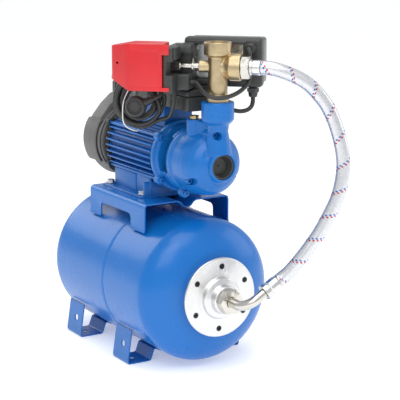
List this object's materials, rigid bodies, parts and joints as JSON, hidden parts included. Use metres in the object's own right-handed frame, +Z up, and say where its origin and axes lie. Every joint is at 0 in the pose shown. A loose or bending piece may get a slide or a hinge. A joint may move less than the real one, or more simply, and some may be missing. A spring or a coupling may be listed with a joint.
{
  "type": "centrifugal water pump",
  "caption": "Electric centrifugal pump on a saddle over a horizontal pressure tank, with a five-way fitting, pressure and dry-run switches and a braided hose to the tank.",
  "frame": {"origin": "on the floor, under the centre of the box of the set without its hose and cords", "axes": "+X along the tank and the pump shaft towards the suction port and the tank flange, +Y to the pump's side where the hose hangs, +Z up towards the discharge port"},
  "size_m": [0.6273, 0.3434, 0.6105],
  "materials": {
    "blue_motor_enamel": "stoved enamel on an aluminium casting",
    "blue_paint": "gloss stoved enamel",
    "red_plastic": "satin moulded",
    "black_plastic": "fine moulded grain",
    "dark_casting": "painted casting",
    "grey_plastic": "fine moulded grain",
    "pale_plastic": "plain moulded",
    "brass": "turned",
    "nickel": "nickel plated",
    "polished_steel": "turned and polished",
    "zinc_plate": "zinc plated",
    "ground_steel": "ground",
    "black_steel": "blackened",
    "laminated_iron": "machined",
    "copper_wire": "varnished windings",
    "rubber": "matt",
    "steel_braid": "stainless wire braid with coloured tracer threads over a rubber tube"
  },
  "bodies": {
    "pump_set": {"air_valve": "brass", "body_bolt_1": "black_steel", "body_bolt_2": "black_steel", "body_bolt_3": "black_steel", "braided_hose": "steel_braid", "casing_cover": "laminated_iron", "casing_seal": "rubber", "drain_plug": "black_steel", "dry_run_base": "black_plastic", "dry_run_cover": "red_plastic", "fan_cover": "grey_plastic", "filler_plug": "brass", "five_way_fitting": "brass", "foot_bolt_1": "zinc_plate", "foot_bolt_2": "zinc_plate", "foot_bolt_3": "zinc_plate", "foot_bolt_4": "zinc_plate", "front_bearing": "ground_steel", "front_foot": "blue_paint", "hose_elbow": "nickel", "hose_ferrule_bottom": "nickel", "hose_ferrule_top": "nickel", "lantern": "blue_paint", "mains_cord_coil": "rubber", "mains_cord_lead": "rubber", "mains_cord_tail": "rubber", "mains_plug": "black_plastic", "motor_cable": "rubber", "motor_frame": "blue_motor_enamel", "pressure_diaphragm": "nickel", "pressure_spring": "ground_steel", "pressure_switch_cover": "black_plastic", "pressure_switch_frame": "black_plastic", "pressure_switch_plate": "zinc_plate", "pump_body": "blue_paint", "pump_saddle": "blue_paint", "rear_bearing": "ground_steel", "rear_foot": "blue_paint", "rear_shield": "dark_casting", "run_capacitor": "pale_plastic", "suction_plug": "black_plastic", "switch_cable": "rubber", "switch_gland_below": "black_plastic", "switch_gland_front": "black_plastic", "switch_nipple": "nickel", "tank_bladder": "rubber", "tank_flange": "polished_steel", "tank_shell": "blue_paint", "terminal_block": "pale_plastic", "terminal_box": "black_plastic", "terminal_box_lid": "black_plastic", "wound_stator": "copper_wire"},
    "rotor": {"shaft": "ground_steel", "rotor_core": "laminated_iron", "impeller": "brass", "seal_rotor": "rubber", "cooling_fan": "pale_plastic"},
    "top_hose_nut": {"hose_nut_top": "nickel"},
    "bottom_hose_nut": {"hose_nut_bottom": "nickel"},
    "switch_lever": {"pressure_lever": "zinc_plate"}
  },
  "joints": [
    {"name": "shaft_spin", "type": "hinge", "parent": "pump_set", "child": "rotor", "pos_m": [0.0265, 0.0095, 0.3865], "axis": [1, 0, 0], "continuous": true},
    {"name": "top_nut_swivel", "type": "hinge", "parent": "pump_set", "child": "top_hose_nut", "pos_m": [0.2155, 0.0095, 0.564], "axis": [0.6947, 0.7193, 0], "continuous": true},
    {"name": "bottom_nut_swivel", "type": "hinge", "parent": "pump_set", "child": "bottom_hose_nut", "pos_m": [0.2265, 0.0095, 0.145], "axis": [1, 0, 0], "continuous": true},
    {"name": "pressure_lever_tilt", "type": "hinge", "parent": "pump_set", "child": "switch_lever", "pos_m": [0.13175, 0.03477, 0.564], "axis": [0, 0, 1], "range_deg": [0, 1], "stiffness_Nm_per_rad": 2}
  ]
}
